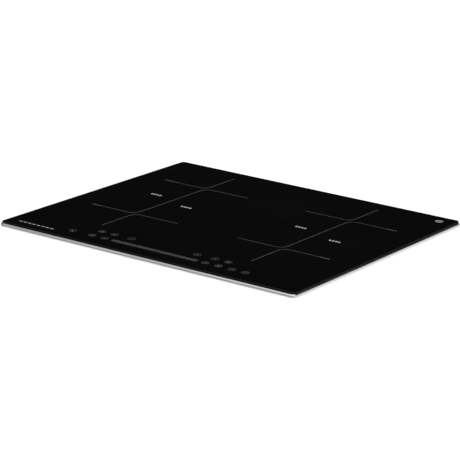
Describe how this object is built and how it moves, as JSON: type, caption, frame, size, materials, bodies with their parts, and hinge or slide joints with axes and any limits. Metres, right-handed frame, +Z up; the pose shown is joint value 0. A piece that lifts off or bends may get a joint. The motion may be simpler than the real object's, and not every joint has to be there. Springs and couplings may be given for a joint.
{
  "type": "induction cooktop",
  "caption": "Flat black glass built-in induction cooktop with cross-marked zones, slider touch controls and a thin aluminium edge trim over a vented steel housing.",
  "frame": {"origin": "centre of the bounding box at the housing's feet", "axes": "+Z up, -Y towards the cook and the touch controls, +X to the cook's right"},
  "size_m": [0.59, 0.52, 0.058],
  "materials": {
    "glass": "polished black glass ceramic",
    "print": "fired grey enamel",
    "white_print": "fired white enamel",
    "trim": "satin anodised",
    "silicone": "matt black",
    "foam": "matt closed-cell foam",
    "galvanised_steel": "galvanised sheet",
    "screw_steel": "zinc plated",
    "spring_steel": "drawn wire",
    "clamp_steel": "yellow passivated zinc",
    "nut_steel": "machined",
    "aluminium": "mill finish",
    "copper": "enamelled litz wire",
    "coil_plastic": "moulded, glass filled",
    "ferrite": "sintered",
    "mica": "pressed mica",
    "sensor_plastic": "silicone cap",
    "lead_sleeve": "silicone sleeve",
    "board": "green solder mask",
    "black_plastic": "moulded, fine texture",
    "stator": "laminated core with winding",
    "capacitor": "moulded box",
    "choke": "coated ring core",
    "display": "smoked",
    "ribbon": "flat cable",
    "terminal_plastic": "moulded",
    "rubber": "matt"
  },
  "bodies": {
    "housing": {"glass_top": "glass", "zone_print": "print", "control_print": "print", "sign_print": "white_print", "edge_trim": "trim", "glass_adhesive": "silicone", "worktop_gasket": "foam", "touch_pads": "foam", "support_frame": "galvanised_steel", "base_tray": "galvanised_steel", "end_walls": "galvanised_steel", "side_walls": "galvanised_steel", "clamp_pockets": "galvanised_steel", "clamp_brackets": "galvanised_steel", "housing_screws": "screw_steel", "small_screws": "screw_steel", "clamp_screws": "screw_steel", "cover_hinge_pin": "screw_steel", "sensor_springs": "spring_steel", "coil_plate_left": "aluminium", "coil_plate_right": "aluminium", "heat_sinks": "aluminium", "coil_winding_front_left": "copper", "coil_winding_back_left": "copper", "coil_winding_front_right": "copper", "coil_winding_back_right": "copper", "coil_carrier_front_left": "coil_plastic", "coil_carrier_back_left": "coil_plastic", "coil_carrier_front_right": "coil_plastic", "coil_carrier_back_right": "coil_plastic", "ferrite_bars": "ferrite", "insulation_discs": "mica", "temperature_sensors": "sensor_plastic", "power_leads": "lead_sleeve", "power_boards": "board", "filter_board": "board", "control_board": "board", "fan_housings": "black_plastic", "control_carrier": "black_plastic", "power_transistors": "black_plastic", "board_standoffs": "black_plastic", "fan_stators": "stator", "film_capacitors": "capacitor", "choke_coils": "choke", "filter_components": "choke", "display_modules": "display", "control_cable": "ribbon", "terminal_block": "terminal_plastic", "cable_grommet": "rubber"},
    "fan_left": {"fan_rotor_left": "black_plastic"},
    "fan_right": {"fan_rotor_right": "black_plastic"},
    "cover": {"terminal_cover": "black_plastic"},
    "nut_front_left": {"clamp_nut_front_left": "nut_steel"},
    "arm_front_left": {"clamp_arm_front_left": "clamp_steel"},
    "nut_front_right": {"clamp_nut_front_right": "nut_steel"},
    "arm_front_right": {"clamp_arm_front_right": "clamp_steel"},
    "nut_back_left": {"clamp_nut_back_left": "nut_steel"},
    "arm_back_left": {"clamp_arm_back_left": "clamp_steel"},
    "nut_back_right": {"clamp_nut_back_right": "nut_steel"},
    "arm_back_right": {"clamp_arm_back_right": "clamp_steel"}
  },
  "joints": [
    {"name": "fan_left_spin", "type": "hinge", "parent": "housing", "child": "fan_left", "pos_m": [-0.1733, 0.16, 0.018], "axis": [0, 0, 1], "continuous": true},
    {"name": "fan_right_spin", "type": "hinge", "parent": "housing", "child": "fan_right", "pos_m": [0.1293, 0.16, 0.018], "axis": [0, 0, 1], "continuous": true},
    {"name": "terminal_cover_hinge", "type": "hinge", "parent": "housing", "child": "cover", "pos_m": [0, 0.2432, 0.009], "axis": [-1, 0, 0], "range_deg": [0, 95]},
    {"name": "clamp_climb_front_left", "type": "slide", "parent": "housing", "child": "nut_front_left", "axis": [0, 0, 1], "range_m": [0, 0.014]},
    {"name": "clamp_swing_front_left", "type": "hinge", "parent": "nut_front_left", "child": "arm_front_left", "pos_m": [-0.266, -0.197, 0.0083], "axis": [0, 0, 1], "range_deg": [0, 90]},
    {"name": "clamp_climb_front_right", "type": "slide", "parent": "housing", "child": "nut_front_right", "axis": [0, 0, 1], "range_m": [0, 0.014]},
    {"name": "clamp_swing_front_right", "type": "hinge", "parent": "nut_front_right", "child": "arm_front_right", "pos_m": [0.266, -0.197, 0.0083], "axis": [0, 0, -1], "range_deg": [0, 90]},
    {"name": "clamp_climb_back_left", "type": "slide", "parent": "housing", "child": "nut_back_left", "axis": [0, 0, 1], "range_m": [0, 0.014]},
    {"name": "clamp_swing_back_left", "type": "hinge", "parent": "nut_back_left", "child": "arm_back_left", "pos_m": [-0.266, 0.197, 0.0083], "axis": [0, 0, -1], "range_deg": [0, 90]},
    {"name": "clamp_climb_back_right", "type": "slide", "parent": "housing", "child": "nut_back_right", "axis": [0, 0, 1], "range_m": [0, 0.014]},
    {"name": "clamp_swing_back_right", "type": "hinge", "parent": "nut_back_right", "child": "arm_back_right", "pos_m": [0.266, 0.197, 0.0083], "axis": [0, 0, 1], "range_deg": [0, 90]}
  ]
}
